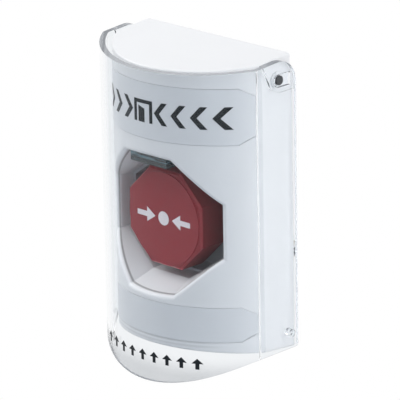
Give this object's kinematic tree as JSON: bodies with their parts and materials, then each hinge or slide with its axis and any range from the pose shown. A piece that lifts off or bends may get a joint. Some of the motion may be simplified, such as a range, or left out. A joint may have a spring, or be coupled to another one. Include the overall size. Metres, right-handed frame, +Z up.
{
  "type": "emergency evacuation button",
  "caption": "Wall station with a red octagonal push button in a faceted recess, under a clear lift-up cover hinged at the top of a white D-shaped housing.",
  "frame": {"origin": "on the wall plane, midway between the two wall screws", "axes": "+Z up, -Y out of the wall towards the person, +X to that person's right"},
  "size_m": [0.0874, 0.0702, 0.1334],
  "materials": {
    "white_housing": "smooth moulded polycarbonate",
    "label_film": "satin film",
    "smoked_lens": "polished, smoked",
    "clear_cover": "clear polished polycarbonate",
    "black_nylon": "moulded, fine grain",
    "block_plastic": "moulded",
    "red_cap": "satin moulded",
    "white_acetal": "moulded",
    "dark_pin": "turned and blackened",
    "steel_stem": "turned",
    "spring_steel": "drawn wire",
    "zinc_screws": "zinc plated",
    "plated_plate": "zinc plated sheet",
    "nickel_clamp": "nickel plated"
  },
  "bodies": {
    "station": {"housing": "white_housing", "header_label": "label_film", "lower_label": "label_film", "status_lens": "smoked_lens", "guide_sleeve": "black_nylon", "sleeve_screws": "zinc_screws", "contact_carrier": "black_nylon", "carrier_screws": "zinc_screws", "contact_block_left": "block_plastic", "contact_block_right": "block_plastic", "block_screws": "zinc_screws", "terminals_left": "nickel_clamp", "terminals_right": "nickel_clamp", "terminal_screws": "zinc_screws", "back_plate": "plated_plate", "security_screw": "zinc_screws", "hinge_pin_left": "dark_pin", "hinge_pin_right": "dark_pin"},
    "lift_cover": {"cover": "clear_cover"},
    "push_button": {"button_cap": "red_cap", "button_stem": "steel_stem", "stem_clip": "steel_stem", "return_spring": "spring_steel", "pusher_plate": "white_acetal", "contact_plunger_left": "white_acetal", "contact_plunger_right": "white_acetal"}
  },
  "joints": [
    {"name": "cover_hinge", "type": "hinge", "parent": "station", "child": "lift_cover", "pos_m": [0, -0.0091, 0.0523], "axis": [-1, 0, 0], "range_deg": [0, 95]},
    {"name": "button_push", "type": "slide", "parent": "station", "child": "push_button", "axis": [0, 1, 0], "range_m": [0, 0.004], "stiffness_N_per_m": 1500, "springref_m": -0.003, "deforming": ["return_spring"]}
  ]
}
